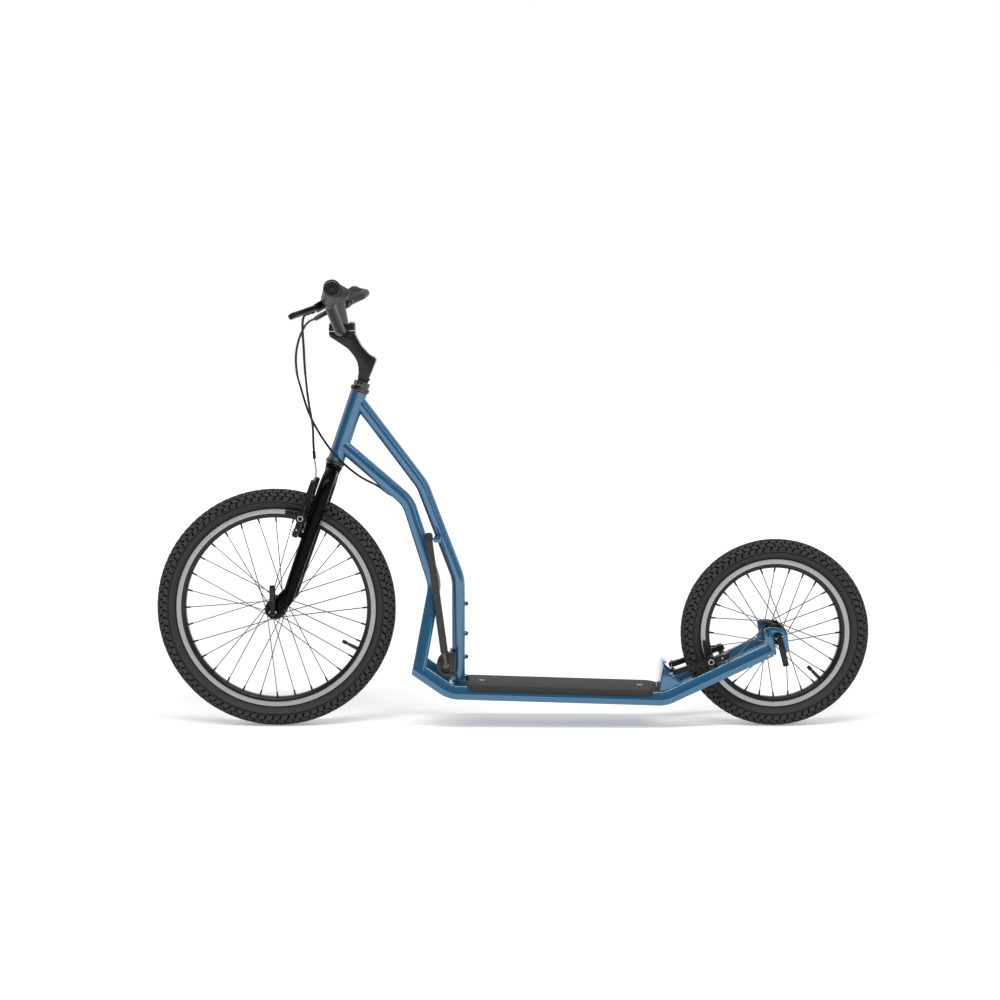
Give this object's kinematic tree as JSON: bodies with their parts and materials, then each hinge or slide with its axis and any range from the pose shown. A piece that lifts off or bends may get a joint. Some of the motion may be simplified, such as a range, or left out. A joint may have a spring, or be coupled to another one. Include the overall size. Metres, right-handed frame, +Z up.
{
  "type": "kick bike",
  "caption": "Adult kick bike with a larger front wheel, low deck between side rails, rim brakes, quill stem with riser bar and a folding side stand.",
  "frame": {"origin": "on the ground, under the middle of the bounding box", "axes": "+X to the rear, -Y to the rider's left, +Z up"},
  "size_m": [1.5104, 0.5876, 0.9374],
  "materials": {
    "frame_paint": "gloss",
    "black_paint": "gloss",
    "tyre_rubber": "matte",
    "rubber": "matte",
    "rim_alloy": "satin",
    "black_alloy": "satin",
    "grey_alloy": "satin",
    "steel": "satin",
    "dark_steel": "polished",
    "cable_cover": "matte"
  },
  "bodies": {
    "root": {"head_tube": "frame_paint", "top_tube": "frame_paint", "down_tube_left": "frame_paint", "down_tube_right": "frame_paint", "side_rail_left": "frame_paint", "side_rail_right": "frame_paint", "dropout_left": "frame_paint", "dropout_right": "frame_paint", "deck_plate": "frame_paint", "deck_mat": "rubber", "deck_screw_front": "steel", "deck_screw_rear": "steel", "heel_bracket": "frame_paint", "headset_upper_cup": "dark_steel", "headset_lower_cup": "dark_steel", "headset_upper_bearing": "steel", "headset_lower_bearing": "steel", "rear_axle": "steel", "rear_skewer": "dark_steel", "stand_bracket": "grey_alloy", "rear_brake_cable": "cable_cover"},
    "steered": {"fork": "black_paint", "headset_locknut": "dark_steel", "stem": "black_alloy", "stem_clamp_cap": "black_alloy", "stem_wedge_bolt": "steel", "handlebar": "grey_alloy", "grip_left": "rubber", "grip_right": "rubber", "brake_lever_body_left": "black_alloy", "brake_lever_body_right": "black_alloy", "front_axle": "steel", "front_skewer": "dark_steel", "front_brake_cable": "cable_cover"},
    "front_wheel": {"front_tyre": "tyre_rubber", "front_inner_tube": "rubber", "front_rim": "rim_alloy", "front_laced_hub": "black_alloy", "front_hub_bearing_left": "steel", "front_hub_bearing_right": "steel"},
    "rear_wheel": {"rear_tyre": "tyre_rubber", "rear_inner_tube": "rubber", "rear_rim": "rim_alloy", "rear_laced_hub": "black_alloy", "rear_hub_bearing_left": "steel", "rear_hub_bearing_right": "steel"},
    "left_lever": {"brake_lever_blade_left": "black_alloy"},
    "right_lever": {"brake_lever_blade_right": "black_alloy"},
    "front_quick_lever": {"front_quick_release_lever": "black_alloy"},
    "rear_quick_lever": {"rear_quick_release_lever": "black_alloy"},
    "stand": {"stand_leg": "grey_alloy", "stand_foot": "rubber"},
    "front_left_arm": {"front_brake_arm_left": "black_alloy", "front_brake_pad_left": "rubber"},
    "front_right_arm": {"front_brake_arm_right": "black_alloy", "front_brake_pad_right": "rubber"},
    "rear_left_arm": {"rear_brake_arm_left": "black_alloy", "rear_brake_pad_left": "rubber"},
    "rear_right_arm": {"rear_brake_arm_right": "black_alloy", "rear_brake_pad_right": "rubber"}
  },
  "joints": [
    {"name": "steering", "type": "hinge", "parent": "root", "child": "steered", "pos_m": [-0.48458, 0, 0.24688], "axis": [0.3272, 0, 0.9449], "range_deg": [-70, 70], "deforming": ["rear_brake_cable"]},
    {"name": "front_wheel_spin", "type": "hinge", "parent": "steered", "child": "front_wheel", "pos_m": [-0.50225, 0, 0.253], "axis": [0, 1, 0], "continuous": true},
    {"name": "rear_wheel_spin", "type": "hinge", "parent": "root", "child": "rear_wheel", "pos_m": [0.55575, 0, 0.1995], "axis": [0, 1, 0], "continuous": true},
    {"name": "left_brake_lever", "type": "hinge", "parent": "steered", "child": "left_lever", "pos_m": [-0.39351, -0.16949, 0.8857], "axis": [-0.5285, 0.0737, 0.8457], "range_deg": [0, 25], "stiffness_Nm_per_rad": 0.3, "springref_deg": -28.65},
    {"name": "right_brake_lever", "type": "hinge", "parent": "steered", "child": "right_lever", "pos_m": [-0.39351, 0.16949, 0.8857], "axis": [0.5285, 0.0737, -0.8457], "range_deg": [0, 25], "stiffness_Nm_per_rad": 0.3, "springref_deg": -28.65},
    {"name": "front_brake_arm_left", "type": "hinge", "parent": "steered", "child": "front_left_arm", "pos_m": [-0.44885, -0.052, 0.41515], "axis": [-0.9449, 0, 0.3272], "range_deg": [0, 2.8]},
    {"name": "front_brake_arm_right", "type": "hinge", "parent": "steered", "child": "front_right_arm", "pos_m": [-0.44885, 0.052, 0.41515], "axis": [0.9449, 0, -0.3272], "range_deg": [0, 2.8]},
    {"name": "rear_brake_arm_left", "type": "hinge", "parent": "root", "child": "rear_left_arm", "pos_m": [0.44832, -0.052, 0.15111], "axis": [0.3223, 0, -0.9466], "range_deg": [0, 2.8]},
    {"name": "rear_brake_arm_right", "type": "hinge", "parent": "root", "child": "rear_right_arm", "pos_m": [0.44832, 0.052, 0.15111], "axis": [-0.3223, 0, 0.9466], "range_deg": [0, 2.8]},
    {"name": "front_quick_release", "type": "hinge", "parent": "steered", "child": "front_quick_lever", "pos_m": [-0.50225, -0.0733, 0.253], "axis": [1, 0, 0], "range_deg": [0, 150]},
    {"name": "rear_quick_release", "type": "hinge", "parent": "root", "child": "rear_quick_lever", "pos_m": [0.55575, -0.0723, 0.1995], "axis": [-0.9694, 0, -0.2453], "range_deg": [0, 150]},
    {"name": "side_stand", "type": "hinge", "parent": "root", "child": "stand", "pos_m": [-0.141, -0.0435, 0.133], "axis": [1, 0, 0], "range_deg": [0, 115]}
  ],
  "couplings": [
    {"joint": "front_brake_arm_left", "follows": "left_brake_lever", "ratio": 0.1119},
    {"joint": "front_brake_arm_right", "follows": "left_brake_lever", "ratio": 0.1119},
    {"joint": "rear_brake_arm_left", "follows": "right_brake_lever", "ratio": 0.1119},
    {"joint": "rear_brake_arm_right", "follows": "right_brake_lever", "ratio": 0.1119}
  ]
}
